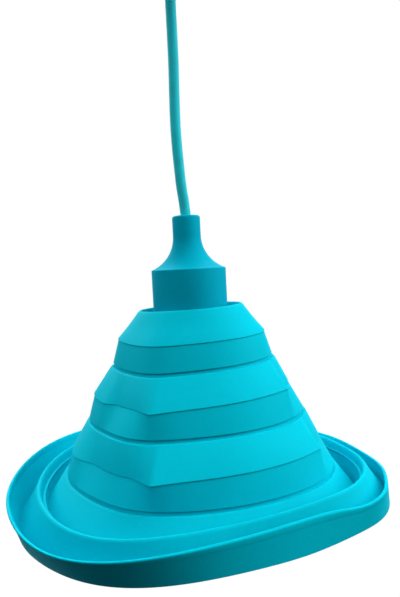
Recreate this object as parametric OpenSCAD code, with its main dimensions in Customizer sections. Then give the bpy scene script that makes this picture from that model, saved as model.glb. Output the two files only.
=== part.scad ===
// Folding silicone pendant lamp, hung from a ceiling rose by a braided cord.
// Millimetres, +Z up. The origin is the middle of the rose, on the ceiling.

/* [Ceiling rose] */
// Outer diameter of the rose cover
rose_d = 100; // [84:1:130]
// Height of the rose cover
rose_h = 28; // [26:1:40]
// Wall of the rose cover
rose_wall = 2; // [1.5:0.1:3]
// Width of the steel ceiling bracket
bracket_w = 18; // [14:1:24]
// Thickness of the steel ceiling bracket
bracket_t = 1.5; // [1:0.1:2.5]
// Distance between the two ceiling screw holes
bracket_pitch = 58; // [44:1:64]
// Diameter of the ceiling screw holes
bracket_hole_d = 4.6; // [3.5:0.1:5.5]
// Diameter of the threads of the two cover screws
cover_screw_d = 4; // [3:0.5:5]

/* [Cord] */
// Diameter of the braided cord
cord_d = 6.4; // [5:0.1:7.4]
// Free length of cord, from the cord grip to the holder cover
cord_drop = 146; // [140:1:170]
// How far below the rose cover the cord grip reaches
grip_drop = 17; // [15:0.5:22]

/* [Lampholder] */
// Wall of the silicone holder cover
cover_wall = 2.2; // [1.6:0.1:3]
// Wall of the lampholder's plastic body
body_wall = 2; // [1.6:0.1:3]
// Outer diameter of the cover's neck
neck_d = 16.8; // [15.6:0.2:19]
// Height of the neck and the flare above the shoulder
neck_h = 32; // [30:0.5:36]
// Height of the flare between the neck and the shoulder
flare_h = 20; // [18:0.5:22]
// Depth from the shoulder to the shade's flange
collar_v = 36; // [33:0.5:40]
// Wall of the threaded skirt that carries the shade
skirt_wall = 2.6; // [2:0.1:3.2]
// Length of the threaded skirt below the flange
skirt_h = 20; // [17:0.5:24]
// Inner diameter of the lamp socket's screw shell
socket_d = 26.6; // [26.4:0.1:27]
// Length of the lamp socket's screw shell
socket_h = 22; // [20:0.5:24]

/* [Shade] */
// Radius of the first sloping ring at its top edge
first_ring_r = 30.5; // [29:0.5:34]
// Run of one sloping ring outwards
ring_run = 13.3; // [11:0.1:15]
// Drop of one sloping ring
ring_drop = 17; // [15:0.5:20]
// Drop of one fold band
fold_drop = 14; // [12:0.5:16]
// Wall of the sloping rings
ring_wall = 2.2; // [1.8:0.1:2.8]
// Wall of the thin fold bands
fold_wall = 1.2; // [0.8:0.1:1.6]
// Thickness of the rounded lip round the rim
lip_t = 2.6; // [2:0.1:3.4]

/* [Hidden] */
$fn = 64;
RING_COUNT = 5;
// Run of each fold band outwards, from the flange to the rim
fold_runs = [3.6, 3.6, 3.6, 3.6, 4.4, 4.6];
// 1 where a fold band hangs open, -1 where it is pushed in
fold_states = [-1, 1, 1, 1, -1, -1];
// Lean of the flange, the rings and the rim: millimetres lower for each millimetre along X
leans = [0, -0.03, -0.03, 0.01, 0.04, 0.01, 0.045];

// The soft shade hangs out of round: three corners, an oval, a pulled-in side and a sharp corner.
corner_share = 0.04;
oval_share = 0.03;
oval_az = 100;
dent_share = 0.16;
dent_az = 296;
dent_width = 43;
crease_out = 5;
crease_az = 247;
crease_width = 18;
plan_steps = 72;

// Clearances
slip_gap = 0.1;
running_gap = 0.3;
thread_gap = 0.05;

// Levels, downwards from the ceiling
mouth_z = -(rose_h + grip_drop);
pivot_z = mouth_z + 2;
neck_top_z = mouth_z - cord_drop;
shoulder_z = neck_top_z - neck_h;
flange_t = ring_wall;
hang_x = 2.6;

cord_r = cord_d / 2;
cord_bore_r = cord_r + 0.25;
cord_sides = 12;
// Length of cord inside the neck, down to where its sheath ends
cord_inset = 26;
// Sideways and downward course of the cord, below the cord grip's mouth
cord_course = [[0, -2], [0, 10], [0, 21], [0, 33], [0, 45], [-0.1, 57], [-0.4, 69], [-0.7, 81],
    [-0.8, 93], [-0.5, 105], [0.1, 117], [0.8, 128], [1.9, 138]];

teal = [0, 0.68, 0.76];
deep_teal = [0, 0.56, 0.66];
steel = [0.72, 0.73, 0.75];
brass = [0.80, 0.66, 0.36];
white_plastic = [0.90, 0.90, 0.88];

// ---------- Ceiling rose ----------

rose_r = rose_d / 2;
rose_base_z = -rose_h;
ear_x = rose_r - rose_wall - 2.7;
ear_h = 14;
cover_screw_z = -9;
screw_head_r = 3.6;
thread_r = 4.95;
nut_t = 3;
grip_flange_t = 3;
grip_body_r = 7.5;
lock_screw_z = mouth_z + 9;
lock_screw_r = 1.9;

module ceiling_bracket() {
    color(steel) difference() {
        union() {
            translate([-ear_x - bracket_t, -bracket_w / 2, -bracket_t])
                cube([2 * (ear_x + bracket_t), bracket_w, bracket_t]);
            for (side = [-1, 1])
                translate([side > 0 ? ear_x : -ear_x - bracket_t, -bracket_w / 2, -ear_h])
                    cube([bracket_t, bracket_w, ear_h]);
        }
        for (side = [-1, 1])
            translate([side * bracket_pitch / 2, 0, -bracket_t - 1])
                cylinder(d = bracket_hole_d, h = bracket_t + 2);
        translate([-ear_x - 5, 0, cover_screw_z])
            rotate([0, 90, 0])
                cylinder(r = cover_screw_d / 2, h = 2 * ear_x + 10);
    }
}

module rose_cover() {
    corner = 7;
    color(teal) difference() {
        rotate_extrude() difference() {
            union() {
                translate([0, -rose_h + corner])
                    square([rose_r, rose_h - corner]);
                translate([0, -rose_h])
                    square([rose_r - corner, corner + 1]);
                translate([rose_r - corner, -rose_h + corner])
                    circle(corner);
            }
            union() {
                translate([-1, -rose_h + corner])
                    square([rose_r - rose_wall + 1, rose_h]);
                translate([-1, -rose_h + rose_wall])
                    square([rose_r - corner + 1, corner]);
                translate([rose_r - corner, -rose_h + corner])
                    circle(corner - rose_wall);
            }
            translate([-rose_d, -rose_d])
                square([rose_d, 2 * rose_d]);
        }
        translate([0, 0, -rose_h - 1])
            cylinder(r = thread_r + 0.2, h = rose_wall + 2);
        translate([-rose_r - 1, 0, cover_screw_z])
            rotate([0, 90, 0])
                cylinder(r = cover_screw_d / 2 + 0.25, h = rose_d + 2);
    }
}

module cover_screws() {
    color(steel) for (side = [0, 180]) rotate([0, 0, side])
        translate([0, 0, cover_screw_z]) rotate([0, 90, 0]) difference() {
            union() {
                translate([0, 0, ear_x - 1])
                    cylinder(r = cover_screw_d / 2 - thread_gap, h = rose_r - ear_x + 1.5);
                translate([0, 0, rose_r])
                    cylinder(r = screw_head_r, h = 2.4);
            }
            translate([-0.5, -screw_head_r, rose_r + 1.4])
                cube([1, 2 * screw_head_r, 2]);
        }
}

module cord_grip() {
    color(deep_teal) difference() {
        union() {
            translate([0, 0, mouth_z])
                cylinder(r = grip_body_r, h = -mouth_z - rose_h);
            translate([0, 0, rose_base_z - grip_flange_t])
                cylinder(r = 9.4, h = grip_flange_t, $fn = 6);
            translate([0, 0, rose_base_z - 1])
                cylinder(r = thread_r, h = rose_wall + nut_t + 2);
        }
        translate([0, 0, mouth_z - 1])
            cylinder(r = cord_bore_r, h = -mouth_z);
        rotate_extrude() polygon([[0, mouth_z - 1], [cord_r + 3.6, mouth_z - 1], [cord_r + 3, mouth_z],
            [cord_r + 1.3, pivot_z], [cord_bore_r, pivot_z + 3], [0, pivot_z + 3]]);
        translate([0, 0, lock_screw_z]) rotate([0, 90, 0])
            cylinder(r = lock_screw_r + thread_gap, h = grip_body_r + 2);
    }
}

module cord_grip_nut() {
    color(deep_teal) translate([0, 0, rose_base_z + rose_wall]) difference() {
        cylinder(r = 8.4, h = nut_t, $fn = 6);
        translate([0, 0, -1])
            cylinder(r = thread_r + thread_gap, h = nut_t + 2);
    }
}

module grip_lock_screw() {
    color(white_plastic) translate([0, 0, lock_screw_z]) rotate([0, 90, 0]) difference() {
        translate([0, 0, cord_r + slip_gap])
            cylinder(r = lock_screw_r, h = grip_body_r - cord_r + 0.9);
        translate([-0.4, -lock_screw_r - 1, grip_body_r])
            cube([0.8, 2 * lock_screw_r + 2, 2]);
    }
}

block_x = 17;
block_size = [13, 15, 9];
block_z = -bracket_t - block_size[2];
terminal_pitch = 7;
wire_r = 1.1;
wire_bore_r = 1.3;
tail_top_z = rose_base_z + 10;

module terminal_block() {
    color(white_plastic) difference() {
        translate([block_x - block_size[0] / 2, -block_size[1] / 2, block_z])
            cube(block_size);
        for (side = [-1, 1]) {
            translate([block_x - block_size[0], side * terminal_pitch / 2, block_z + 3])
                rotate([0, 90, 0])
                    cylinder(r = wire_bore_r, h = 2 * block_size[0]);
            translate([block_x, side * terminal_pitch / 2, block_z - 1])
                cylinder(r = 1.6, h = 3);
        }
    }
}

module terminal_screws() {
    color(brass) for (side = [-1, 1])
        translate([block_x, side * terminal_pitch / 2, block_z - 0.4])
            cylinder(r = 1.5, h = 2);
}

module cord_tail() {
    color(teal) translate([0, 0, pivot_z + cord_r + running_gap])
        cylinder(r = cord_r, h = tail_top_z - pivot_z - cord_r - running_gap);
}

function unit(v) = v / norm(v);
// The way a route runs at one of its points, halfway between the stretches that meet there
function way_at(points, i) = unit(
    (i < len(points) - 1 ? unit(points[i + 1] - points[i]) : [0, 0, 0])
    + (i > 0 ? unit(points[i] - points[i - 1]) : [0, 0, 0]));
// Faces of a closed tube with that many rings of points, running the way the rings turn
function tube_faces(last, sides) = concat(
    [for (i = [0 : last - 1], j = [0 : sides - 1])
        [i * sides + j, (i + 1) * sides + j, (i + 1) * sides + (j + 1) % sides]],
    [for (i = [0 : last - 1], j = [0 : sides - 1])
        [i * sides + j, (i + 1) * sides + (j + 1) % sides, i * sides + (j + 1) % sides]],
    [[for (j = [0 : sides - 1]) j]],
    [[for (j = [sides - 1 : -1 : 0]) last * sides + j]]);

// A wire bent along points; bend_axis is roughly square to its bends
module wire(points, bend_axis) {
    sides = 8;
    polyhedron(
        points = [for (i = [0 : len(points) - 1])
            let (way = way_at(points, i), out = unit(cross(bend_axis, way)), up = cross(way, out))
            for (j = [0 : sides - 1])
                points[i] + wire_r * (cos(360 * j / sides) * out - sin(360 * j / sides) * up)],
        faces = tube_faces(len(points) - 1, sides));
}

module rose_wire(side) {
    y = side * terminal_pitch / 2;
    wire([[0, side * 1.4, tail_top_z + 0.1], [0, side * 1.4, tail_top_z + 4],
        [block_x - 12, y, block_z + 3], [block_x - 2, y, block_z + 3]], [0, 1, 0]);
}

module rose_wire_live() { color([0.45, 0.28, 0.14]) rose_wire(1); }
module rose_wire_neutral() { color([0.16, 0.36, 0.72]) rose_wire(-1); }

// ---------- Cord ----------

cord_points = concat(
    [for (p = cord_course) [p[0], 0, mouth_z - p[1]]],
    [[hang_x, 0, neck_top_z - 2], [hang_x, 0, neck_top_z - 13], [hang_x, 0, neck_top_z - cord_inset]]);

// A round tube along points that run downwards, closed by a dome at its top
module tube(points, r, sides) {
    domes = [[0.35, 0.94], [0.72, 0.7], [0.94, 0.34]];
    rings = concat(
        [for (d = domes) [points[0] + [0, 0, d[1] * r], d[0] * r]],
        [for (p = points) [p, r]]);
    polyhedron(
        points = [for (ring = rings, j = [0 : sides - 1])
            ring[0] + ring[1] * [cos(360 * j / sides), sin(360 * j / sides), 0]],
        faces = tube_faces(len(rings) - 1, sides));
}

module cord() { color(deep_teal) tube(cord_points, cord_r, cord_sides); }

// ---------- Holder cover and lampholder ----------
// Their outlines give a radius and a depth below the cover's shoulder.

// The holder is built outwards from its screw shell: core, spigot, body, cover.
socket_r = socket_d / 2;
shell_t = 0.5;
core_wall = 3;
core_r = socket_r + shell_t + core_wall;
spigot_wall = 1;
cover_slip = 0.2;
body_r = core_r + slip_gap + spigot_wall + slip_gap + body_wall;
cover_r = body_r + cover_slip + cover_wall;
neck_r = neck_d / 2;
// The flare is an arc that starts upright at the neck and ends leaning at the shoulder.
flare_turn = 2 * atan((cover_r - neck_r) / flare_h);
flare_r = flare_h / sin(flare_turn);
function flare_turn_at(r, offset) = acos((neck_r + flare_r - r) / (flare_r + offset));
function flare_arc(offset, from, to, steps) = [for (i = [0 : steps])
    let (turn = from + (to - from) * i / steps)
    [neck_r + flare_r - (flare_r + offset) * cos(turn), -flare_h + (flare_r + offset) * sin(turn)]];
module lathe(outline) {
    translate([hang_x, 0, shoulder_z]) rotate_extrude()
        polygon([for (p = outline) [p[0], -p[1]]]);
}

collar_t = 3;
core_top_v = 12;
core_floor_v = 22;
// Room above the screw shell for the centre contact's tongue
contact_room = 5;
shell_top_v = core_floor_v + contact_room;
cap_end_v = 12;
cap_top_v = -14;
cap_gap = cover_wall + 0.3;
grip_r = neck_r - cover_wall - 0.3;
skirt_r = core_r + slip_gap + skirt_wall;
skirt_end_v = collar_v + skirt_h;
shell_end_v = shell_top_v + socket_h;

module holder_cover() {
    inner_r = cover_r - cover_wall;
    lip = 1.4;
    color(teal) lathe(concat(
        [[cord_bore_r, -neck_h + 0.6], [cord_bore_r + 0.6, -neck_h], [neck_r - lip - 0.2, -neck_h],
            [neck_r - 0.6, -neck_h + 0.4], [neck_r - 0.2, -neck_h + lip]],
        flare_arc(0, 0, flare_turn, 16),
        [[cover_r, 0.6], [cover_r, collar_v - collar_t], [inner_r, collar_v - collar_t]],
        flare_arc(cover_wall, flare_turn_at(inner_r, cover_wall), 0, 16),
        [[neck_r - cover_wall, -neck_h + 4], [cord_bore_r, -neck_h + 4]]));
}

module holder_grip() {
    color(deep_teal) difference() {
        lathe([[cord_bore_r, cap_top_v], [grip_r, cap_top_v], [grip_r, -neck_h + 6],
            [grip_r - 1, -neck_h + 5], [cord_bore_r, -neck_h + 5]]);
        translate([hang_x, 0, shoulder_z + flare_h])
            rotate([0, 90, 0])
                cylinder(r = 1.5 + thread_gap, h = 2 * grip_r);
    }
}

module holder_grip_screw() {
    color(steel) translate([hang_x + cord_r + slip_gap, 0, shoulder_z + flare_h])
        rotate([0, 90, 0])
            cylinder(r = 1.5, h = grip_r - cord_r - 0.3);
}

module holder_cap() {
    inner_r = body_r - body_wall;
    inner_gap = cap_gap + body_wall;
    top_turn = asin((cap_top_v + flare_h) / (flare_r + cap_gap));
    floor_turn = asin((cap_top_v + body_wall + flare_h) / (flare_r + inner_gap));
    color(white_plastic) lathe(concat(
        [[cord_bore_r, cap_top_v]],
        flare_arc(cap_gap, top_turn, flare_turn_at(body_r, cap_gap), 12),
        [[body_r, cap_end_v], [inner_r, cap_end_v]],
        flare_arc(inner_gap, flare_turn_at(inner_r, inner_gap), floor_turn, 12),
        [[cord_bore_r, cap_top_v + body_wall]]));
}

module holder_body() {
    spigot_r = body_r - body_wall - slip_gap;
    bore_r = core_r + slip_gap;
    thread = [for (i = [0 : 5], p = [[0, 0], [0.3, 0.6], [0.3, 1.2], [0, 1.8]])
        [skirt_r + p[0], collar_v + 3.4 + 2.4 * i + p[1]]];
    color(white_plastic) lathe(concat(
        [[bore_r, cap_end_v - 6], [spigot_r, cap_end_v - 6], [spigot_r, cap_end_v],
            [body_r, cap_end_v], [body_r, collar_v - collar_t], [cover_r, collar_v - collar_t],
            [cover_r, collar_v], [skirt_r, collar_v]],
        thread,
        [[skirt_r, skirt_end_v], [socket_r + 1.6, skirt_end_v], [socket_r + 1.6, skirt_end_v - 3],
            [bore_r, skirt_end_v - 4]]));
}

module holder_core() {
    color([0.94, 0.93, 0.90]) difference() {
        lathe([[0, core_top_v], [core_r, core_top_v], [core_r, skirt_end_v - 4.5],
            [socket_r + shell_t + slip_gap, skirt_end_v - 4.5],
            [socket_r + shell_t + slip_gap, core_floor_v], [0, core_floor_v]]);
        for (side = [-1, 1])
            translate([hang_x + side * terminal_x, 0, shoulder_z - core_top_v - 4])
                cylinder(r = 1.3, h = 5);
    }
}

module screw_shell() {
    color(brass) lathe([[socket_r, shell_top_v], [socket_r + shell_t, shell_top_v],
        [socket_r + shell_t, shell_end_v], [socket_r, shell_end_v]]);
}

// The contact's foot is riveted to the core; its tongue springs up from the foot's end.
tongue_x = -3.5;
tongue_w = 5;
tongue_t = 0.5;
tongue_gap = 0.3;
function floor_z(v) = shoulder_z - core_floor_v - v;

module contact_foot() {
    color(brass) {
        translate([hang_x - 9, -tongue_w / 2, floor_z(tongue_t)])
            cube([9 + tongue_x - 0.3, tongue_w, tongue_t]);
        translate([hang_x - 6.5, 0, floor_z(1.1)])
            cylinder(r = 1.4, h = 0.6);
    }
}

module centre_contact() {
    color(brass) translate([hang_x, tongue_w / 2, 0]) rotate([90, 0, 0])
        linear_extrude(tongue_w) polygon([
            [tongue_x, floor_z(tongue_gap)], [2, floor_z(tongue_gap + 3.6)],
            [3.4, floor_z(tongue_gap + 3.2)], [3.4, floor_z(tongue_gap + 3.8)],
            [1.8, floor_z(tongue_gap + 4.3)], [tongue_x, floor_z(tongue_gap + 0.6)]]);
}

terminal_x = 8.5;
terminal_size = [6, 9, 5];

module holder_terminals() {
    color(brass) for (side = [-1, 1])
        translate([hang_x + side * terminal_x, 0, shoulder_z - core_top_v]) difference() {
            translate([-terminal_size[0] / 2, -terminal_size[1] / 2, 0])
                cube(terminal_size);
            translate([0, -2, 2.5])
                rotate([-90, 0, 0])
                    translate([0, 0, -terminal_size[1]])
                        cylinder(r = wire_bore_r, h = terminal_size[1] + 2);
            translate([0, 2.3, 2])
                cylinder(r = 1.6, h = 4);
        }
}

module holder_terminal_screws() {
    color(steel) for (side = [-1, 1])
        translate([hang_x + side * terminal_x, 2.3, shoulder_z - core_top_v + 2.5])
            cylinder(r = 1.5, h = 3.4);
}

module lamp_wire(side) {
    end = shoulder_z - core_top_v + 2.5;
    start = neck_top_z - cord_inset - 0.6;
    wire([[hang_x + side * 1.4, 0, start], [hang_x + side * 1.4, -3, start - 5],
        [hang_x + side * terminal_x, -9, end + 3], [hang_x + side * terminal_x, -7, end],
        [hang_x + side * terminal_x, -2.5, end]], [1, 0.2, 0]);
}

module lamp_wire_live() { color([0.45, 0.28, 0.14]) lamp_wire(1); }
module lamp_wire_neutral() { color([0.16, 0.36, 0.72]) lamp_wire(-1); }

module clamp_ring() {
    top_v = collar_v + flange_t;
    bore_r = skirt_r + 0.4;
    hub_r = skirt_r + 3.5;
    color(white_plastic) difference() {
        lathe([[bore_r, top_v], [hub_r + 3, top_v], [hub_r + 3, top_v + 1.8], [hub_r, top_v + 2.2],
            [hub_r, top_v + 7.5], [bore_r, top_v + 7.5]]);
        for (i = [0 : 11])
            translate([hang_x, 0, shoulder_z - top_v - 8])
                rotate([0, 0, 30 * i])
                    translate([hub_r + 0.6, 0, 0])
                        cylinder(r = 1.4, h = 5.4);
    }
}

// ---------- Shade ----------
// Its outline runs over the outer skin as [radius, depth below the shoulder, lean].

flange_v = collar_v + flange_t / 2;
// Run from the first ring's top edge to the middle of the rim's wall, where the shade is furthest
// out of round
function total(list, last) = last < 0 ? 0 : list[last] + total(list, last - 1);
full_run = RING_COUNT * ring_run + total(fold_runs, RING_COUNT - 1) - fold_runs[0]
    + fold_runs[RING_COUNT] / 2;
// Room where two pieces that meet lean by different amounts, which a wider shade needs more of
lean_gap = full_run / 140;
function ring_top_r(k) = k == 1 ? first_ring_r : ring_top_r(k - 1) + ring_run + fold_runs[k - 1];
function ring_top_v(k) = k == 1 ? flange_v + fold_states[0] * fold_drop
    : ring_top_v(k - 1) + ring_drop + fold_states[k - 1] * fold_drop;
function ring_top(k) = [ring_top_r(k), ring_top_v(k), leans[k]];
function ring_end(k) = k == 0 ? [first_ring_r - fold_runs[0], flange_v, leans[0]]
    : [ring_top_r(k) + ring_run, ring_top_v(k) + ring_drop, leans[k]];

function bump(az, middle, width) =
    let (turn = (az - middle + 540) % 360 - 180) exp(-pow(turn / width, 2));
function plan_r(az, r) =
    let (growth = max(0, (r - first_ring_r) / full_run))
    r * (1 + corner_share * pow(growth, 0.7) * cos(3 * az)
        + oval_share * growth * cos(2 * (az - oval_az))
        - dent_share * pow(growth, 3) * bump(az, dent_az, dent_width))
    + crease_out * min(1, 4 * growth) * bump(az, crease_az, crease_width);

// A closed hoop: the outline is carried round the shade's plan. A point with a fourth value keeps
// its distance from the skin's line at that radius, so the rim's wall is as thick all the way round.
module hoop(outline) {
    count = len(outline);
    function at(i, j) = (i % plan_steps) * count + j % count;
    translate([hang_x, 0, shoulder_z]) polyhedron(
        points = [for (i = [0 : plan_steps - 1], p = outline)
            let (az = 360 * i / plan_steps, base = len(p) > 3 ? p[3] : p[0],
                r = plan_r(az, base) + p[0] - base)
            [r * cos(az), r * sin(az), -p[1] - p[2] * r * cos(az)]],
        faces = [for (i = [0 : plan_steps - 1], j = [0 : count - 1], half = [0, 1])
            half == 0 ? [at(i, j), at(i + 1, j), at(i + 1, j + 1)]
                : [at(i, j), at(i + 1, j + 1), at(i, j + 1)]]);
}

function flat(p) = [p[0], p[1]];
// A point so far along the line from one skin point to the next, and so far off it
function skin(from, to, along, off) =
    let (way = unit(flat(to) - flat(from)), share = along / norm(flat(to) - flat(from)))
    [from[0] + way[0] * along + way[1] * off, from[1] + way[1] * along - way[0] * off,
        from[2] + (to[2] - from[2]) * share];

module shade_ring(k) {
    top = ring_top(k);
    end = ring_end(k);
    long = norm(flat(end) - flat(top));
    color(teal) hoop([
        skin(top, end, 0.9, -ring_wall), skin(top, end, 0.1, -ring_wall * 0.6),
        skin(top, end, 0.3, 0.2), skin(top, end, 1.3, 0.8), skin(top, end, 2.6, 0.8),
        skin(top, end, 5, 0), skin(top, end, long, 0), skin(top, end, long, -ring_wall)]);
}

// How far a fold band stays from the corner where it meets a thicker wall inside the bend
function mitre(way_1, way_2, wall_1, wall_2) =
    let (cosine = way_1 * way_2) (wall_2 + wall_1 * cosine) / sqrt(1 - cosine * cosine);

// A fold band starts slip_gap from its own ring and stops running_gap short of the next piece
module fold_band(k) {
    from = ring_end(k);
    to = k == RING_COUNT ? rim_top : ring_top(k + 1);
    long = norm(flat(to) - flat(from));
    way = unit(flat(to) - flat(from));
    ring_way = unit([ring_run, ring_drop]);
    hangs_open = fold_states[k] > 0;
    turn_sine = sqrt(1 - pow(way * ring_way, 2));
    start = hangs_open ? (slip_gap + fold_wall * turn_sine) / (way * ring_way) : ring_wall * 0.2;
    inset = k == RING_COUNT ? lip_h / -way[1] + lean_gap
        : hangs_open ? slip_gap : mitre(-way, ring_way, fold_wall, ring_wall) + lean_gap;
    last = long - inset - running_gap;
    color(deep_teal) hoop([for (p = [[start, 0], [last, 0], [last, -fold_wall], [start, -fold_wall]])
        let (at = skin(from, to, p[0], p[1]))
        k == RING_COUNT ? concat(at, [skin(from, to, p[0], 0)[0]]) : at]);
}

lip_h = 3.4;
rim_top = [ring_top_r(RING_COUNT) + ring_run + fold_runs[RING_COUNT],
    ring_top_v(RING_COUNT) + ring_drop + fold_states[RING_COUNT] * fold_drop, leans[RING_COUNT + 1]];

module rim_lip() {
    half = lip_t / 2;
    middle = fold_wall / 2;
    color(teal) hoop([for (p = [[-half, 0.9], [-half, lip_h - 0.8], [-half + 0.7, lip_h],
        [half - 0.7, lip_h], [half, lip_h - 0.8], [half, 0.9], [half - 0.8, 0], [-half + 0.8, 0]])
        [rim_top[0] + middle + p[0], rim_top[1] + lip_h - p[1], rim_top[2], rim_top[0]]]);
}

module shade_flange() {
    end = ring_end(0);
    color(teal) lathe([[skirt_r + 0.5, collar_v], [end[0], collar_v], [end[0], collar_v + flange_t],
        [skirt_r + 0.5, collar_v + flange_t]]);
}

ceiling_bracket();
rose_cover();
cover_screws();
cord_grip();
cord_grip_nut();
grip_lock_screw();
terminal_block();
terminal_screws();
cord_tail();
rose_wire_live();
rose_wire_neutral();
cord();
holder_cover();
holder_grip();
holder_grip_screw();
holder_cap();
holder_body();
holder_core();
screw_shell();
contact_foot();
centre_contact();
holder_terminals();
holder_terminal_screws();
lamp_wire_live();
lamp_wire_neutral();
clamp_ring();
shade_flange();
fold_band(0);  // fold_band_0
shade_ring(1);  // shade_ring_1
fold_band(1);  // fold_band_1
shade_ring(2);  // shade_ring_2
fold_band(2);  // fold_band_2
shade_ring(3);  // shade_ring_3
fold_band(3);  // fold_band_3
shade_ring(4);  // shade_ring_4
fold_band(4);  // fold_band_4
shade_ring(5);  // shade_ring_5
fold_band(5);  // fold_band_5
rim_lip();
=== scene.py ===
"""A folding silicone pendant lamp, hung from a ceiling rose by a braided cord."""

import math

import bmesh
import bpy
from mathutils import Matrix, Vector


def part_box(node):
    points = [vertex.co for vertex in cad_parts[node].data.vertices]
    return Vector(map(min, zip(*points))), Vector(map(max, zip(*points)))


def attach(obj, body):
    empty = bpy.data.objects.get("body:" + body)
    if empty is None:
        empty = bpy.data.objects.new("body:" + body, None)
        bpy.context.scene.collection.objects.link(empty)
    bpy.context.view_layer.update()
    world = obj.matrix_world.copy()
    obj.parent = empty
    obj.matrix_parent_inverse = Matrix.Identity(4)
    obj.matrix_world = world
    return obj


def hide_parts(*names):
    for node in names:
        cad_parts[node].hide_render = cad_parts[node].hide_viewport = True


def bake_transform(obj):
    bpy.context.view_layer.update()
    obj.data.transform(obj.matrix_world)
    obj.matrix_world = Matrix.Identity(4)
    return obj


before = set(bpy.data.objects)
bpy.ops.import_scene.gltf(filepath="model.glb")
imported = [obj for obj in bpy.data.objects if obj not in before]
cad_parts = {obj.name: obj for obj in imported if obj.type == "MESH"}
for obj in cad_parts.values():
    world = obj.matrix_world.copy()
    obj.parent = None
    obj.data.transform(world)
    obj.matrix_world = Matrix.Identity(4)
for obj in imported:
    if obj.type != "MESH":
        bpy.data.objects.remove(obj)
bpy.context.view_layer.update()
scene = bpy.context.scene

# ---------- Camera ----------
# The camera hangs in front of the lamp, level with the shoulder of the holder's cover. It looks a
# little down and is held a little out of level.

MM = 0.001
cover_low, cover_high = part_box("holder_cover")
axis_x = (cover_low.x + cover_high.x) / 2
neck_top_z = cover_high.z
neck_h = 32 * MM
shoulder_z = neck_top_z - neck_h

camera = bpy.data.objects.new("camera", bpy.data.cameras.new("camera"))
scene.collection.objects.link(camera)
scene.camera = camera
camera.data.lens = 36.18
camera_aside = 6 * MM
camera_back = 363 * MM
looks_down = math.radians(2.87)
held_over = math.radians(-2.9)
turn = Matrix.Rotation(math.pi / 2 - looks_down, 3, "X") @ Matrix.Rotation(held_over, 3, "Z")
camera.rotation_euler = turn.to_euler()
camera.location = (axis_x + camera_aside, -camera_back, shoulder_z)

# ---------- Cord ----------
# Two cores in a round textile braid, 6.4 mm across, twelve yarns winding each way. It comes out of
# the holder's neck, has a slight set from its packing, and runs up into the cord grip of the rose.


class Socket:
    """One value in a material's nodes. Sums on it add Math nodes."""

    def __init__(self, tree, socket):
        self.tree = tree
        self.socket = socket

    def add(self, kind, settings=None, sockets=None, out=0):
        """Adds a node, makes its settings, feeds its sockets and gives one of its outputs."""
        node = self.tree.nodes.new(kind)
        for name, value in (settings or {}).items():
            setattr(node, name, value)
        for name, value in (sockets or {}).items():
            if isinstance(value, Socket):
                self.tree.links.new(value.socket, node.inputs[name])
            else:
                node.inputs[name].default_value = value
        return Socket(self.tree, node.outputs[out])

    def __add__(self, other):
        return self.add("ShaderNodeMath", {"operation": "ADD"}, {0: self, 1: other})

    def __mul__(self, other):
        return self.add("ShaderNodeMath", {"operation": "MULTIPLY"}, {0: self, 1: other})

    __radd__ = __add__
    __rmul__ = __mul__

    def noise(self, scale, detail, roughness=0.5):
        """Clouds over this place, from 0 to 1."""
        return self.add("ShaderNodeTexNoise", None,
                        {"Vector": self, "Scale": scale, "Detail": detail, "Roughness": roughness})

    def ramp(self, low, high):
        """0 below low, 1 above high, smooth between."""
        return self.add("ShaderNodeMapRange", {"interpolation_type": "SMOOTHSTEP"},
                        {"Value": self, "From Min": low, "From Max": high})

    def blend(self, dark, light):
        """The colour from dark to light as this value runs from 0 to 1."""
        return self.add("ShaderNodeMix", {"data_type": "RGBA"},
                        {"Factor": self, "A": dark, "B": light}, out="Result")


def finish_of(name, specular):
    """A new material, its shader, and a place on the piece to start patterns from."""
    material = bpy.data.materials.new(name)
    material.use_nodes = True
    shader = material.node_tree.nodes["Principled BSDF"]
    shader.inputs["Specular IOR Level"].default_value = specular
    place = Socket(material.node_tree, None).add("ShaderNodeTexCoord", out="Object")
    return material, shader, place


def feed(shader, name, value):
    """Feeds one socket of a shader."""
    value.tree.links.new(value.socket, shader.inputs[name])


def bump(height, shader, depth):
    """Makes height, from 0 to 1, a relief that deep in metres."""
    relief = {"Height": height, "Distance": depth, "Strength": 1.0}
    feed(shader, "Normal", height.add("ShaderNodeBump", None, relief))


def new_piece(name, bm, material, smooth_under=35):
    """Makes the bmesh an object at the origin, shaded smooth but for its hard corners."""
    mesh = bpy.data.meshes.new(name)
    bm.to_mesh(mesh)
    bm.free()
    mesh.shade_smooth()
    mesh.set_sharp_from_angle(angle=math.radians(smooth_under))
    mesh.materials.append(material)
    piece = bpy.data.objects.new(name, mesh)
    scene.collection.objects.link(piece)
    return piece


cord_d = 6.4 * MM
cord_r = cord_d / 2
# The cord's middle, in millimetres, from inside the holder's neck up to the mouth of the grip
cord_points = [Vector((x * MM, 0, z * MM)) for x, z in (
    (2.6, -217), (2.6, -204), (2.6, -193), (1.9, -183), (0.8, -173), (0.1, -162), (-0.5, -150),
    (-0.8, -138), (-0.7, -126), (-0.4, -114), (-0.1, -102), (0, -90), (0, -78), (0, -66), (0, -55),
    (0, -43))]


def route(points, share):
    """The place that far along a smooth curve through the points, from 0 to 1."""
    at = share * (len(points) - 1)
    i = min(int(at), len(points) - 2)
    before, here, there, beyond = (points[min(max(j, 0), len(points) - 1)]
                                   for j in (i - 1, i, i + 1, i + 2))
    t = at - i
    return (here * 2 + (there - before) * t
            + (before * 2 - here * 5 + there * 4 - beyond) * t * t
            + (here * 3 - before - there * 3 + beyond) * t ** 3) / 2


yarns = 12
yarn_pitch = 16 * MM
yarn_rise = 0.2 * MM


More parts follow.
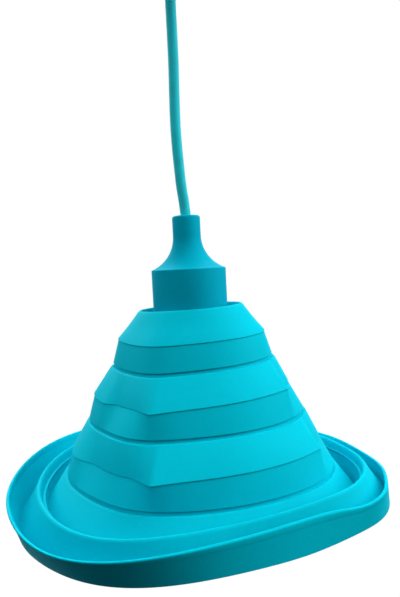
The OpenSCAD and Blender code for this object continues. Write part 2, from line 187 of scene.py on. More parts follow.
def yarn_height(around, along):
    """How proud the braid stands there, 0 to 1: a yarn arches over two others, then dives under."""
    right = yarns * (around + along / yarn_pitch)
    left = yarns * (around - along / yarn_pitch)
    stretch = (right - left) / 2
    crown = math.sin(math.pi * (right % 1 if stretch % 2 < 1 else left % 1))
    arch = math.sin(math.pi * (stretch % 1))
    return crown ** 0.7 * (0.3 + 0.7 * arch)


cord_length = sum((b - a).length for a, b in zip(cord_points, cord_points[1:]))
cord_sides = 96
cord_rings = 900
nearby = 0.004
across = Vector((0, 1, 0))
bm = bmesh.new()
bmesh.ops.create_grid(bm, x_segments=cord_sides, y_segments=cord_rings, size=0.5, calc_uvs=True)
lift = bm.verts.layers.float.new("lift")
for vert in bm.verts:
    around, share = vert.co.x + 0.5, vert.co.y + 0.5
    middle = route(cord_points, share)
    way = route(cord_points, min(share + nearby, 1)) - route(cord_points, max(share - nearby, 0))
    side = across.cross(way).normalized()
    vert[lift] = yarn_height(around, share * cord_length)
    radius = cord_r - yarn_rise + yarn_rise * vert[lift]
    angle = 2 * math.pi * around
    vert.co = middle + radius * (side * math.cos(angle) + across * math.sin(angle))
bmesh.ops.remove_doubles(bm, verts=bm.verts[:], dist=0.002 * MM)
bmesh.ops.holes_fill(bm, edges=[e for e in bm.edges if e.is_boundary])
bmesh.ops.recalc_face_normals(bm, faces=bm.faces[:])

braid, shader, place = finish_of("braid", specular=0.12)
# The braid's colour follows its relief. The yarns' crowns are painted lighter as a painted highlight,
# and the dips between them darker as painted shade. A random mottle lies over both.
height = place.add("ShaderNodeAttribute", {"attribute_name": "lift"}, out="Fac")
mottle = place.noise(260, 3)
tint = (height * 0.9 + mottle * 0.2).ramp(0.2, 0.8)
feed(shader, "Base Color", tint.blend((0.0, 0.05, 0.08, 1), (0.014, 0.87, 0.97, 1)))
feed(shader, "Roughness", 0.62 + mottle * 0.2)
shader.inputs["Sheen Weight"].default_value = 0.1
shader.inputs["Sheen Roughness"].default_value = 0.5
bump(place.noise(5200, 2), shader, 0.06 * MM)

cord = new_piece("braided_cord", bm, braid, 60)
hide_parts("cord")
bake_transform(cord)

# ---------- Holder cover ----------
# A soft silicone sleeve, pulled over the lampholder. Its neck closes round the cord with a thick
# rounded lip, and a flare leads down to a sharp shoulder and a plain round skirt.


def turned(outline, steps):
    """Turns a closed outline of (radius, height, rounding) in millimetres about the upright axis."""
    bm = bmesh.new()
    corners = [bm.verts.new((r * MM, 0, z * MM)) for r, z, _ in outline]
    for pair in zip(corners, corners[1:] + corners[:1]):
        bm.edges.new(pair)
    for vert, (_, _, rounding) in zip(corners, outline):
        if rounding:
            bmesh.ops.bevel(bm, geom=[vert], offset=rounding * MM, offset_type="OFFSET",
                            affect="VERTICES", segments=5, profile=0.5, material=-1)
    bmesh.ops.spin(bm, geom=bm.verts[:] + bm.edges[:], cent=(0, 0, 0), axis=(0, 0, 1),
                   angle=2 * math.pi, steps=steps, use_merge=True)
    bmesh.ops.remove_doubles(bm, verts=bm.verts[:], dist=0.004 * MM)
    bmesh.ops.recalc_face_normals(bm, faces=bm.faces[:])
    return bm


def silicone(name, dark, light):
    """Matt moulded silicone: a faint unevenness in its colour, and a fine skin from the mould."""
    material, shader, place = finish_of(name, specular=0.01)
    cloud = place.noise(14, 3, 0.55)
    speck = place.noise(420, 2, 0.6)
    tint = (cloud * 0.75 + speck * 0.25).ramp(0.3, 0.7)
    feed(shader, "Base Color", tint.blend(dark, light))
    feed(shader, "Roughness", 0.5 + speck * 0.16)
    bump(speck * 0.6 + place.noise(1700, 2) * 0.4, shader, 0.05 * MM)
    return material


cover_d = cover_high.x - cover_low.x
cover_r = cover_d / 2 / MM
neck_r = 8.4
flare_h = 20
cover_wall = 2.2
cover_end = (shoulder_z - cover_low.z) / MM
cord_bore_r = cord_r / MM + 0.1
flare_turn = 2 * math.atan((cover_r - neck_r) / flare_h)
flare_r = flare_h / math.sin(flare_turn)


def flare(offset, turns):
    """Corners of the flare, that far inside its skin, at shares of its whole turn. They are given as
    radius and height above the cover's shoulder."""
    return [(neck_r + flare_r - (flare_r + offset) * math.cos(flare_turn * t),
             flare_h - (flare_r + offset) * math.sin(flare_turn * t), 0) for t in turns]


turns = [i / 24 for i in range(25)]
lip_top, lip_foot = neck_h / MM, neck_h / MM - 4
cover_outline = [(cord_bore_r, lip_top, 0.5), (neck_r, lip_top, 1.5)]
cover_outline += flare(0, turns[:-1])
cover_outline += [(cover_r, 0, 0.35), (cover_r, -cover_end, 0.5),
                  (cover_r - cover_wall, -cover_end, 0.4)]
cover_outline += flare(cover_wall, [t for t in reversed(turns) if t < 0.93])
cover_outline += [(neck_r - cover_wall, lip_foot, 0.3), (cord_bore_r, lip_foot, 0.3)]
bm = turned(cover_outline, 128)
bmesh.ops.translate(bm, verts=bm.verts[:], vec=(axis_x, 0, shoulder_z))
# The sleeve's silicone is set darker than the shade's, as painted shade for its upright faces. Its
# faint random clouds are the silicone's own.
holder_silicone = silicone("holder_silicone", (0.0, 0.34, 0.47, 1), (0.0, 0.38, 0.52, 1))
cover = new_piece("cover_sleeve", bm, holder_silicone)
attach(cover, "pendant")
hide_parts("holder_cover")

# ---------- Shade ----------
# One silicone moulding of five sloping rings joined by thin fold bands. A band that hangs open runs
# down the outside; one that is pushed in leaves its ring standing up inside a gutter.

ring_count = 5
first_ring_r = 30.5
ring_run = 13.3
ring_drop = 17
fold_drop = 14
fold_runs = [3.6, 3.6, 3.6, 3.6, 4.4, 4.6]
hangs_open = [False, True, True, True, False, False]
leans = [0, -0.03, -0.03, 0.01, 0.04, 0.01, 0.045]
flange_t = 2.2
flange_depth = 36
ring_wall = 2.2
fold_wall = 1.2


def band_drop(k):
    """How far fold band k takes the skin down."""
    return fold_drop if hangs_open[k] else -fold_drop


def ring_top(k):
    """Radius and depth below the shoulder of the top edge of sloping ring k."""
    if k == 1:
        return Vector((first_ring_r, flange_depth + flange_t / 2 + band_drop(0)))
    return ring_end(k - 1) + Vector((fold_runs[k - 1], band_drop(k - 1)))


def ring_end(k):
    """Radius and depth of the bottom edge of sloping ring k, or of the flange."""
    if k == 0:
        return Vector((first_ring_r - fold_runs[0], flange_depth + flange_t / 2))
    return ring_top(k) + Vector((ring_run, ring_drop))


mid_rim_run = ring_count * ring_run + sum(fold_runs[1:5]) + fold_runs[5] / 2


def bell(angle, middle, width):
    """1 at the middle, falling away on both sides, in degrees."""
    return math.exp(-(((angle - middle + 540) % 360 - 180) / width) ** 2)


def ease(t):
    """0 to 1 as t runs from 0 to 1, smooth at both ends."""
    t = min(max(t, 0), 1)
    return t * t * (3 - 2 * t)


def out_of_round(radius, angle):
    """The radius of the soft shade at that angle, in millimetres and degrees."""
    growth = max(0, (radius - first_ring_r) / mid_rim_run)
    corners = 0.04 * growth ** 0.7 * math.cos(math.radians(3 * angle))
    oval = 0.03 * growth * math.cos(math.radians(2 * (angle - 100)))
    dent = 0.16 * growth ** 3 * bell(angle, 296, 43)
    return radius * (1 + corners + oval - dent) + 5 * min(1, 4 * growth) * bell(angle, 247, 18)


# Where the soft shade's fold lines have settled outwards, and where they have sunk: how far in
# millimetres, then the azimuth and width of each place in degrees. Top 4 is ring 4's top edge.
left_swell, left_lift, all_round = (1.6, 186, 18), (-1.8, 184, 28), math.inf
set_out = {"end 1": [left_swell], "top 2": [left_swell], "end 2": [left_swell], "top 3": [left_swell],
           "top 4": [(-3.2, 241, 23)],
           "end 4": [(-2, 241, 23)],
           "top 5": [(3.2, 241, 23), (1.5, 332, 16), (-2.5, 14, 16)],
           "end 5": [(-4, 241, 23), (2.2, 339, 16)],
           "rim": [(3, 241, 23), (1.5, 334, 8), (-1.5, 310, 14), (-3, 350, 12), (2.5, 40, 14),
                   (-5.5, 12, 17)]}
set_down = {"end 1": [left_lift], "top 2": [left_lift], "end 2": [left_lift],
            "end 5": [(2.6, 304, 22), (1.4, 340, 16), (-0.8, 241, 23)],
            "rim": [(2.8, 236, 24), (-1.3, 0, all_round), (1.8, 326, 8)]}


def settled(places, fold, angle):
    """How far a fold line has gone out of place at that angle."""
    return sum(far * bell(angle, middle, width) for far, middle, width in places.get(fold, []))


def buckled(past, rise, reach, bulge):
    """How far a ring's edge has snapped in, 0 to 1, at that many millimetres past a sharp corner.
    The corner itself stands out by the bulge."""
    if past < 0:
        return -bulge * math.exp(past / 9)
    if past > reach:
        return 0
    snap = (ease(past / rise / 2 + 0.5) * 2 - 1) * (1 + bulge) - bulge
    return snap * ease((reach - past) / (reach - rise) * 2)


def dent_at(k, share, angle, radius):
    """In-push and drop in millimetres of ring k, or of a band beside it, at that share of the dent.
    The dent's two corners walk round as it fades, one way up the ring and the other down the band."""
    if k not in dents:
        return 0, 0
    (left, left_deep, *left_size), (right, right_deep, *right_size) = dents[k]
    left_walk, right_walk = (-5, -9) if share > 0 else (3, 4)
    faded = 1 - abs(share)
    past_left = math.radians(left + left_walk * faded - angle) * radius
    past_right = math.radians((angle - right - right_walk * faded + 180) % 360 - 180) * radius
    push = left_deep * buckled(past_left, *left_size) + right_deep * buckled(past_right, *right_size)
    corner_drop = 0.4 * math.exp(-((past_left - 2) / 8) ** 2)
    return abs(share) * push, abs(share) * corner_drop


def hang(bm, skin, folds, tilts, dent_of=None):
    """Lets a round shade piece hang. Skin is its line between two folds, which settle and lean."""
    (r_1, depth_1), (r_2, depth_2) = skin
    for vert in bm.verts:
        radius, depth = math.hypot(vert.co.x, vert.co.y) / MM, -vert.co.z / MM
        angle = math.degrees(math.atan2(vert.co.y, vert.co.x)) % 360
        share = (depth - depth_1) / (depth_2 - depth_1)
        near = min(max(share, 0), 1)
        skin_r = r_1 + (r_2 - r_1) * share
        push, drop = dent_at(*dent_of(near), angle, skin_r) if dent_of else (0, 0)
        out, down = (settled(places, folds[0], angle) * (1 - near)
                     + settled(places, folds[1], angle) * near for places in (set_out, set_down))
        lean = tilts[0] + (tilts[1] - tilts[0]) * near
        radius += out_of_round(skin_r, angle) - skin_r + out - push
        x = radius * math.cos(math.radians(angle))
        y = radius * math.sin(math.radians(angle))
        vert.co = (axis_x + x * MM, y * MM, shoulder_z - (depth + lean * x + down + drop) * MM)


def along(start, end, far, off):
    """A place so far from start towards end, and so far off that line to its left, going down."""
    way = (end - start).normalized()
    return start + way * far + Vector((way.y, -way.x)) * off


def shade_piece(name, outline, skin, folds, tilts, dent_of=None):
    """Spins the outline of (place, rounding) into a hoop, hangs it and makes it a piece."""
    bm = turned([(p.x, -p.y, rounding) for p, rounding in outline], 360)
    hang(bm, skin, folds, tilts, dent_of)
    bmesh.ops.recalc_face_normals(bm, faces=bm.faces[:])
    piece = new_piece(name, bm, shade_silicone, 50)
    return piece


# How far the soft bend over a ring that stands up reaches down its fold band
hems = {1: 3.8, 5: 5.4}
shade_silicone = silicone("shade_silicone", (0.0, 0.47, 0.595, 1), (0.0, 0.525, 0.66, 1))
# Left and right dents in a ring's lower edge: azimuth of the corner, depth, rise, reach and bulge
dents = {2: ((251, 4.8, 15, 42, 0.5), (330, 4.6, 9, 60, 0.2)),
         3: ((255, 6.2, 16, 70, 0.45), (333, 4.6, 9, 70, 0.2))}

for k in range(1, ring_count + 1):
    top, end = ring_top(k), ring_end(k)
    long = (end - top).length
    above, below = ring_end(k - 1), ring_top(k + 1)
    # Up the inside, over the top edge, down the outside and round the foot
    outline = [(along(top, end, long - 0.2, -ring_wall), 0.3), (along(top, end, 5, -ring_wall), 1)]
    if hangs_open[k - 1]:
        outline += [(along(top, end, 1.2, -2.9), 0.5), (along(top, end, 1.3, -1.9), 0.2),
                    (along(top, end, 1.5, 0), 1.6)]
    else:
        hem = hems[k]
        upwards = ((top - end).normalized() + (top - above).normalized()).normalized()
        ridge = top + upwards * hem * 0.62
        outline += [(along(top, end, 3.6, -ring_wall), 0.8),
                    (along(top, above, hem, -fold_wall), 0), (along(top, above, hem, 0), 0),
                    (ridge, hem - 0.4), (along(top, end, 10, 0), 4)]
    if hangs_open[k]:
        outline += [(along(top, end, long, 0), 0.25)]
    else:
        outline += [(end, 0.5), (along(end, below, -0.2, 0.45 - fold_wall), 0.2)]

    ring = shade_piece(f"sloping_ring_{k}", outline, (top, end), (f"top {k}", f"end {k}"),
                       (leans[k], leans[k]), lambda share, k=k: (k, max(share * 1.12 - 0.12, 0)))
    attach(ring, f"ring_{k}")
    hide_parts(f"shade_ring_{k}")

lip_h = 3.4
rim_top = ring_top(ring_count + 1)
# The foot of a band that hangs open is tucked behind the next ring: how far down, and how far in
tuck = 2.6
tuck_in = 0.9
for k in range(ring_count + 1):
    start, end = ring_end(k), ring_top(k + 1)
    long = (end - start).length
    joins = end.y
    if hangs_open[k]:
        outline = [(along(start, end, -0.6, -0.6), 0), (along(start, end, long - 0.2, 0), 0.15),
                   (along(start, end, long - 0.2, -tuck_in), 0.1),
                   (along(start, end, long + tuck, -tuck_in), 0),
                   (along(start, end, long + tuck, -1.5), 0), (along(start, end, -0.6, -1.8), 0)]
    else:
        inset = hems[k + 1] if k < ring_count else lip_h / 2
        joins = along(start, end, long - inset, 0).y
        outline = [(along(start, end, 0.2, 0), 0), (along(start, end, long - inset, 0), 0),
                   (along(start, end, long - inset, -fold_wall), 0),
                   (along(start, end, -1.5, -fold_wall), 0), (along(start, end, -1.5, -0.4), 0)]

    folds = (f"end {k}", f"top {k + 1}" if k < ring_count else "rim")
    band = shade_piece(f"folding_band_{k}", outline, (start, end), folds, (leans[k], leans[k + 1]),
                       lambda share, k=k: (k, share - 1))
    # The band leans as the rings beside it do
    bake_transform(band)
    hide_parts(f"fold_band_{k}")

rim_foot = ring_end(ring_count)
lip_outline = [(along(rim_top, rim_foot, down, out), rounding) for down, out, rounding in (
    (lip_h, 0.02, 0.1), (1.6, -0.55, 0.8), (0, -0.45, 0.9), (0, 1.3, 0.8),
    (lip_h, fold_wall + 0.02, 0.1))]
lip = shade_piece("rim_lip_bead", lip_outline, (rim_foot, rim_top),
                  (f"end {ring_count}", "rim"), (leans[-2], leans[-1]))
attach(lip, "rim")
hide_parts("rim_lip")

flange_hole_r = 20
half_flange = Vector((0, flange_t / 2))
flange_outline = [(Vector((flange_hole_r, flange_depth)), 0.2), (ring_end(0) - half_flange, 0.2),
                  (ring_end(0) + half_flange, 1.0),
                  (Vector((flange_hole_r, flange_depth + flange_t)), 0.2)]
flange = shade_piece("flange", flange_outline, (ring_end(0), ring_end(0) + Vector((0, 1))),
                     ("end 0", "end 0"), (0, 0))
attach(flange, "pendant")
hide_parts("shade_flange")

# ---------- Clamp ring ----------
# A moulded nut, ribbed for the fingers, that screws up the lampholder's skirt and holds the shade's
# flange against the collar.


def moulded(name, colour, specular):
    """Moulded plastic: an even colour with faint clouds, dulled in places, under a fine sand grain."""
    material, shader, place = finish_of(name, specular)
    cloud = place.noise(45, 3)
    grain = place.noise(2600, 2, 0.6)
    darker = tuple(c * 0.92 for c in colour) + (1,)
    feed(shader, "Base Color", cloud.ramp(0.3, 0.7).blend(darker, (*colour, 1)))
    feed(shader, "Roughness", 0.32 + cloud * 0.2 + grain * 0.06)
    bump(grain, shader, 0.03 * MM)
    return material


def threaded(bm, low, high, pitch, depth, near):
    """Cuts a rounded thread between two levels into the wall at that radius, all in millimetres."""
    for vert in bm.verts:
        radius = math.hypot(vert.co.x, vert.co.y)
        level = vert.co.z / MM
        if abs(radius / MM - near) > 0.7 or not low < level < high:
            continue
        turn = math.atan2(vert.co.y, vert.co.x) / (2 * math.pi)
        wave = 0.5 + 0.5 * math.sin(2 * math.pi * (level / pitch - turn))
        fade = ease((level - low) / pitch) * ease((high - level) / pitch)
        share = 1 - depth * MM * (1 - wave ** 0.8) * fade / radius
        vert.co.x *= share
        vert.co.y *= share


def levels(low, high, gap):
    """Even levels between two heights, no further apart than the gap."""
    count = math.ceil(abs(high - low) / gap)
    return [low + (high - low) * i / count for i in range(count + 1)]


def holder_piece(name, outline, material, node, thread=None):
    """Turns an outline of (radius, depth below the shoulder, rounding) about the holder's axis."""
    bm = turned([(r, shoulder_z / MM - v, rounding) for r, v, rounding in outline], 128)
    if thread:
        top_v, end_v, pitch, depth, near = thread
        threaded(bm, shoulder_z / MM - end_v, shoulder_z / MM - top_v, pitch, depth, near)
    bmesh.ops.translate(bm, verts=bm.verts[:], vec=(axis_x, 0, 0))
    piece = new_piece(name, bm, material, 40)
    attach(piece, "pendant")
    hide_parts(node)


white_plastic = moulded("white_plastic", (0.84, 0.84, 0.8), specular=0.5)
skirt_r = 19.5
clamp_z = shoulder_z / MM - flange_depth - flange_t
clamp_h = 7.5
clamp_bore_r = skirt_r + 0.4
hub_r = skirt_r + 3.5
washer_r = hub_r + 3
rib_count = 12
rib_gap = 2 * math.pi / rib_count
rib_groove_r = 1.4
bm = turned([(clamp_bore_r, clamp_z, 0.4), (washer_r, clamp_z, 0.4), (washer_r, clamp_z - 1.8, 0.8),
             (hub_r, clamp_z - 2.1, 0.6)] + [(hub_r, clamp_z - v, 0) for v in (2.6, 3.2, 6.8)]
            + [(hub_r, clamp_z - clamp_h, 0.5), (clamp_bore_r, clamp_z - clamp_h, 0.4)], 288)
for vert in bm.verts:
    radius = math.hypot(vert.co.x, vert.co.y) / MM
    if radius > hub_r - 1 and vert.co.z / MM < clamp_z - 2.9:
        angle = math.atan2(vert.co.y, vert.co.x)
        aside = abs((angle / rib_gap + 0.5) % 1 - 0.5) * rib_gap * hub_r
        groove = max(0, rib_groove_r ** 2 - aside ** 2) ** 0.5 * 0.6
        vert.co.x *= 1 - groove / radius
        vert.co.y *= 1 - groove / radius
bmesh.ops.translate(bm, verts=bm.verts[:], vec=(axis_x, 0, 0))
clamp = new_piece("clamp_nut", bm, white_plastic, 40)
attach(clamp, "pendant")
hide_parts("clamp_ring")

# ---------- Lampholder ----------
# A white plastic holder for a screw-capped lamp: a cap and a skirted body round a ceramic core, with
# a rolled nickel shell. The skirt has an outside thread and a collar, which stops the cover's sleeve.

collar_t = 3
skirt_end_v = flange_depth + 20
body_r = 20
core_r = 16.8
shell_r = 13.3
shell_t = 0.5
shell_top_v = 27
shell_end_v = 49
body_top_v = 6
cap_end_v = 12
thread_pitch = 2.4
thread_v = flange_depth + 3
thread_end_v = skirt_end_v - 1.6
skirt = [(skirt_r + 0.3, v, 0) for v in levels(thread_v, thread_end_v, 0.3)]
holder_piece("skirted_body", [
    (core_r + 0.1, body_top_v, 0.2), (body_r - 2.1, body_top_v, 0.2), (body_r - 2.1, cap_end_v, 0),
    (body_r, cap_end_v, 0.2), (body_r, flange_depth - collar_t, 0),
    (cover_r, flange_depth - collar_t, 0.3), (cover_r, flange_depth, 0.3), (skirt_r, flange_depth, 0.1),
    (skirt_r, flange_depth + 2.6, 0.1)] + skirt + [
    (skirt_r, skirt_end_v - 1.2, 0.2), (skirt_r, skirt_end_v, 0.5), (shell_r + 1.6, skirt_end_v, 0.6),
    (shell_r + 1.6, skirt_end_v - 3, 0.3), (core_r + 0.1, skirt_end_v - 4, 0.2)],
    white_plastic, "holder_body", thread=(thread_v, thread_end_v, thread_pitch, 0.6, skirt_r + 0.3))

ceramic, shader, place = finish_of("glazed_ceramic", specular=0.5)
cloud = place.noise(60, 3)
speck = place.noise(900, 2, 0.7)
feed(shader, "Base Color", (cloud * 0.7 + speck * 0.3).ramp(0.35, 0.65).blend(
    (0.74, 0.71, 0.64, 1), (0.83, 0.81, 0.75, 1)))
feed(shader, "Roughness", 0.28 + cloud * 0.25)
feed(shader, "Coat Weight", 0.3 + cloud * 0.3)
shader.inputs["Coat Roughness"].default_value = 0.12
bump(cloud, shader, 0.08 * MM)

core_floor_v = 22
core_end_v = skirt_end_v - 4.5
bore_r = shell_r + shell_t + 0.1
holder_piece("ceramic_core", [
    (0, cap_end_v, 0), (core_r, cap_end_v, 0.8), (core_r, core_end_v, 0.6), (bore_r, core_end_v, 0.6),
    (bore_r, core_floor_v, 0.8), (0, core_floor_v, 0)], ceramic, "holder_core")


def metal(name, colour, rough, brushed=0.0):
    """A plated or bare metal with fine scratches and dulled clouds."""
    material, shader, place = finish_of(name, specular=0.5)
    cloud = place.noise(120, 3)
    drawn_out = place.add("ShaderNodeMapping", None, {"Vector": place, "Scale": (1, 1, 14)})
    scratch = drawn_out.noise(700, 3)
    darker = tuple(c * 0.82 for c in colour) + (1,)
    feed(shader, "Base Color", cloud.ramp(0.3, 0.7).blend(darker, (*colour, 1)))
    shader.inputs["Metallic"].default_value = 1.0
    feed(shader, "Roughness", rough + cloud * 0.18 + scratch * brushed)
    bump(scratch, shader, 0.01 * MM)
    return material


nickel = metal("nickel_plate", (0.74, 0.71, 0.64), 0.16)
brass = metal("bare_brass", (0.78, 0.56, 0.24), 0.2)
steel = metal("zinc_plate", (0.5, 0.52, 0.54), 0.32, brushed=0.12)

shell_pitch = 3.6
wall = [(shell_r + shell_t, v, 0) for v in levels(shell_top_v, shell_end_v, 0.3)]
wall += [(shell_r, v, 0) for v in levels(shell_end_v, shell_top_v, 0.3)]
holder_piece("rolled_shell", wall, nickel, "screw_shell",
             thread=(shell_top_v + 1.5, shell_end_v - 0.6, shell_pitch, 1.0, shell_r + shell_t / 2))

cap_gap = cover_wall + 0.3
cap_wall = 2
cap_top_v = -14
wire_hole_r = cord_bore_r + 0.15


def dome(offset, top_v, widest_r):
    """The cap's dome, that far inside the cover's flare, from its flat top out to its wall."""
    return [(r, -z, 0) for r, z, _ in flare(offset, turns) if -z > top_v and r < widest_r - 0.4]


holder_piece("domed_cap", [(wire_hole_r, cap_top_v, 0.3), (neck_r - cap_gap + 0.9, cap_top_v, 0.3)]
             + dome(cap_gap, cap_top_v + 0.8, body_r)
             + [(body_r, cap_end_v - 8.5, 1.0), (body_r, cap_end_v, 0.3),
                (body_r - cap_wall, cap_end_v, 0.2), (body_r - cap_wall, cap_end_v - 7, 1.0)]
             + dome(cap_gap + cap_wall, cap_top_v + cap_wall, body_r - cap_wall)[::-1]
             + [(wire_hole_r, cap_top_v + cap_wall, 0.3)], white_plastic, "holder_cap")

grip_r = neck_r - cap_gap
holder_piece("neck_grip", [(wire_hole_r, cap_top_v, 0.2), (grip_r, cap_top_v, 0.2),
                           (grip_r, 6 - neck_h / MM, 0.8), (wire_hole_r, 5 - neck_h / MM, 0.5)],
             white_plastic, "holder_grip")


def insulation(name, colour):
    """Glossy soft insulation on one core of the cord."""
    material, shader, place = finish_of(name, specular=0.45)
    cloud = place.noise(300, 2)
    darker = tuple(c * 0.85 for c in colour) + (1,)
    feed(shader, "Base Color", cloud.ramp(0.3, 0.7).blend(darker, (*colour, 1)))
    feed(shader, "Roughness", 0.3 + cloud * 0.2)
    bump(cloud, shader, 0.02 * MM)
    return material


live = insulation("brown_insulation", (0.2, 0.075, 0.03))
neutral = insulation("blue_insulation", (0.03, 0.12, 0.5))


def finish_nodes(material, *names):
    """Gives CAD nodes whose shape is right their material."""
    for name in names:
        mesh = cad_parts[name].data
        mesh.materials.clear()
        mesh.materials.append(material)


finish_nodes(brass, "contact_foot", "centre_contact", "holder_terminals")
finish_nodes(steel, "holder_terminal_screws", "holder_grip_screw")
finish_nodes(live, "lamp_wire_live", "rose_wire_live")
finish_nodes(neutral, "lamp_wire_neutral", "rose_wire_neutral")

# ---------- Cord grip ----------
# A moulded bush, screwed through the rose's cover from below. It has a hexagon flange, a bell mouth
# that lets the cord swing, and a white nylon screw that locks the cord.

rose_base_z = -28
mouth_z = -45
teal_plastic = moulded("teal_plastic", (0.0, 0.4, 0.51), specular=0.4)


def rose_piece(name, outline, node, steps=96, hexagon_r=0.0):
    """Turns an outline of (radius, height, rounding) about the rose's axis, and may cut six flats."""
    bm = turned(outline, steps)
    for vert in bm.verts if hexagon_r else ():
        past_corner = math.degrees(math.atan2(vert.co.y, vert.co.x)) % 60 - 30
        flat_r = hexagon_r * MM * math.cos(math.pi / 6) / math.cos(math.radians(past_corner))
        share = min(1, flat_r / math.hypot(vert.co.x, vert.co.y))
        vert.co.x *= share
        vert.co.y *= share
    piece = new_piece(name, bm, teal_plastic)
    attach(piece, "ceiling_rose")
    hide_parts(node)


cord_hole_r = cord_r / MM + 0.25
bell_mouth = [(cord_r / MM + 3, mouth_z, 0), (cord_r / MM + 2.2, mouth_z + 0.7, 0),
              (cord_r / MM + 1.3, mouth_z + 2, 0.8), (cord_hole_r, mouth_z + 5, 1)]
bush_r = 4.9
grip_body_r = 7.5
waist_r = grip_body_r - 0.35
rose_piece("grip_bush", [(cord_hole_r, rose_base_z + 6, 0.2), (bush_r, rose_base_z + 6, 0.4),
                         (bush_r, rose_base_z - 0.5, 0), (grip_body_r, rose_base_z - 0.5, 0),
                         (grip_body_r, mouth_z + 4.5, 0.4), (waist_r, mouth_z + 4.1, 0.2),
                         (waist_r, mouth_z + 3.5, 0.2), (grip_body_r, mouth_z + 3.1, 0.4),
                         (grip_body_r, mouth_z, 0.8)] + bell_mouth, "cord_grip")


def six_sided(low, high, bore_r, corner_r):
    """The outline of a nut or flange between two levels, its corners turned off at both ends."""
    return [(bore_r, high, 0.3), (corner_r - 0.9, high, 0), (corner_r, high - 0.5, 0),
            (corner_r, low + 0.5, 0), (corner_r - 0.9, low, 0), (bore_r, low, 0.3)]


rose_piece("grip_hexagon", six_sided(rose_base_z - 3, rose_base_z, grip_body_r - 0.1, 9.4),
           "cord_grip", hexagon_r=9.4)
rose_piece("bush_nut", six_sided(rose_base_z + 2, rose_base_z + 5, 5, 8.4),
           "cord_grip_nut", hexagon_r=8.4)


def slotted_screw(bm, shank_r, head_r, head_h, shank, slot_w, slot_deep, turn, place):
    """Adds a domed screw with a slot across its head, pointing along turn, its head's foot at place."""
    outline = [(0, -shank, 0), (shank_r, -shank, 0.3), (shank_r, 0, 0), (head_r, 0, 0.2),
               (head_r, head_h * 0.55, 0.5), (head_r * 0.6, head_h * 0.93, 0.6), (0, head_h, 0)]
    screw = turned(outline, 48)
    touching = 1e-7
    slot_side = slot_w / 2 * MM
    slot_floor = (head_h - slot_deep) * MM
    for cut_at, facing in (((0, slot_side, 0), (0, 1, 0)), ((0, -slot_side, 0), (0, -1, 0)),
                           ((0, 0, slot_floor), (0, 0, 1))):
        bmesh.ops.bisect_plane(screw, geom=screw.verts[:] + screw.edges[:] + screw.faces[:],
                               plane_co=cut_at, plane_no=facing)
    cut = [f for f in screw.faces if abs(f.calc_center_median().y) < slot_side
           and f.calc_center_median().z > slot_floor]
    bmesh.ops.delete(screw, geom=cut, context="FACES")
    for side in (-slot_side, slot_side):
        wall = [e for e in screw.edges if e.is_boundary
                and all(abs(v.co.y - side) < touching for v in e.verts)]
        ends = [v for e in wall for v in e.verts if abs(v.co.z - slot_floor) < touching]
        wall.append(screw.edges.new(sorted(set(ends), key=lambda v: v.co.x)))
        bmesh.ops.contextual_create(screw, geom=wall)
    bmesh.ops.holes_fill(screw, edges=[e for e in screw.edges if e.is_boundary])
    bmesh.ops.recalc_face_normals(screw, faces=screw.faces[:])
    bmesh.ops.transform(screw, matrix=Matrix.Translation(Vector(place) * MM) @ turn.to_4x4(),
                        verts=screw.verts[:])
    part = bpy.data.meshes.new("screw")
    screw.to_mesh(part)
    screw.free()
    bm.from_mesh(part)
    bpy.data.meshes.remove(part)


def screw_piece(name, bm, material, node):
    """Makes screws that are ready one piece of the rose."""
    piece = new_piece(name, bm, material)
    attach(piece, "ceiling_rose")
    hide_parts(node)


to_right = Matrix.Rotation(math.pi / 2, 3, "Y")
to_left = Matrix.Rotation(-math.pi / 2, 3, "Y")
bm = bmesh.new()
slotted_screw(bm, 1.75, 1.9, 1.1, 3.7, 0.7, 0.6, to_right, (grip_body_r - 0.2, 0, mouth_z + 9))
screw_piece("cord_lock_screw", bm, white_plastic, "grip_lock_screw")

# ---------- Ceiling rose ----------
# A shallow plastic cup that hides the joint in the wires. Two slotted screws hold it to the ears of
# a steel bar, and the bar is screwed to the ceiling.

rose_r = 50
rose_wall = 2
rose_corner = 7
bush_hole_r = bush_r + 0.25
cover_screw_z = -9


def cup_corner(radius, count):
    """The rounded corner between the cup's wall and its floor, from the wall down."""
    middle_r, middle_z = rose_r - rose_corner, rose_base_z + rose_corner
    return [(middle_r + radius * math.cos(a), middle_z - radius * math.sin(a), 0)
            for a in (math.pi / 2 * i / count for i in range(count + 1))]


rose_piece("rose_cup", [(rose_r, 0, 0.5)] + cup_corner(rose_corner, 12)
           + [(bush_hole_r, rose_base_z, 0.3), (bush_hole_r, rose_base_z + rose_wall, 0.2)]
           + cup_corner(rose_corner - rose_wall, 8)[::-1] + [(rose_r - rose_wall, 0, 0.3)],
           "rose_cover", steps=160)

bm = bmesh.new()
for turn, side in ((to_right, 1), (to_left, -1)):
    slotted_screw(bm, 1.95, 3.6, 2.4, 5, 1, 1, turn, (side * rose_r, 0, cover_screw_z))
screw_piece("cup_screws", bm, steel, "cover_screws")

finish_nodes(steel, "ceiling_bracket")
finish_nodes(white_plastic, "terminal_block")
finish_nodes(brass, "terminal_screws")
finish_nodes(braid, "cord_tail")

# ---------- Studio ----------
# A pale floor well below the lamp, seven soft square lights round it, the strongest on the right
# and behind, a narrow faint one up into the shade, and a white surround that lights it only faintly.

floor_z = -1.6
bm = bmesh.new()
bmesh.ops.create_grid(bm, x_segments=1, y_segments=1, size=8)
bmesh.ops.translate(bm, verts=bm.verts[:], vec=(0, 0, floor_z))
floor_paint, shader, place = finish_of("floor_paint", specular=0.0)


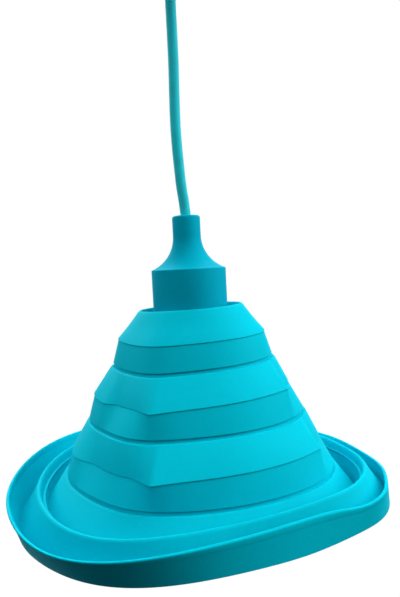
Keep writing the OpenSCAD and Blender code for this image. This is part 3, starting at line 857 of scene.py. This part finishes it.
def seen_directly(place):
    """1 where the eye, a reflection or a view through glass reaches a surface, and 0 elsewhere."""
    rays = [place.add("ShaderNodeLightPath", out=f"Is {kind} Ray")
            for kind in ("Camera", "Glossy", "Transmission")]
    return (rays[0] + rays[1] + rays[2]).ramp(0, 1)


shader.inputs["Base Color"].default_value = (0.12, 0.12, 0.12, 1)
shader.inputs["Roughness"].default_value = 0.9
shader.inputs["Emission Strength"].default_value = 1.0
off_centre = place.add("ShaderNodeVectorMath", {"operation": "LENGTH"}, {0: place}, out="Value")
white_there = seen_directly(place) * (0.96 + off_centre.ramp(1.6, 3.5) * 0.04)
feed(shader, "Emission Color", white_there.blend((0, 0, 0, 1), (1, 1, 1, 1)))
floor = new_piece("floor", bm, floor_paint)

aim = Vector((axis_x, 0, shoulder_z - 0.05))
light_distance = 1.25
for name, azimuth, elevation, power in (
        ("light_right", 0, 15, 11), ("light_right_high", 0, 50, 8), ("light_front_high", 282, 54, 6.5),
        ("light_front_left", 230, 45, 3), ("light_left", 180, 20, 3), ("light_back_left", 135, 30, 8),
        ("light_back", 90, 50, 11)):
    light = bpy.data.lights.new(name, "AREA")
    light.shape = "SQUARE"
    light.size = 0.8
    light.energy = power
    lamp = bpy.data.objects.new(name, light)
    round_by = Matrix.Rotation(math.radians(azimuth), 3, "Z")
    away = round_by @ Matrix.Rotation(-math.radians(elevation), 3, "Y") @ Vector((1, 0, 0))
    lamp.location = aim + away * light_distance
    lamp.rotation_euler = away.to_track_quat("Z", "Y").to_euler()
    lamp.visible_camera = False
    scene.collection.objects.link(lamp)

glow = bpy.data.lights.new("light_below", "SPOT")
glow.energy = 6
glow.spot_size = math.radians(13)
glow.spot_blend = 0.6
glow.shadow_soft_size = 0.04
lamp = bpy.data.objects.new("light_below", glow)
lamp.location = (axis_x, 0, -1.25)
lamp.rotation_euler = (math.pi, 0, 0)
scene.collection.objects.link(lamp)

world = bpy.data.worlds.new("surround")
scene.world = world
world.use_nodes = True
background = world.node_tree.nodes["Background"]
white = seen_directly(Socket(world.node_tree, None))
fill = (0.018, 0.024, 0.036, 1)
world.node_tree.links.new(white.blend(fill, (1, 1, 1, 1)).socket, background.inputs["Color"])

scene.view_settings.view_transform = "Standard"
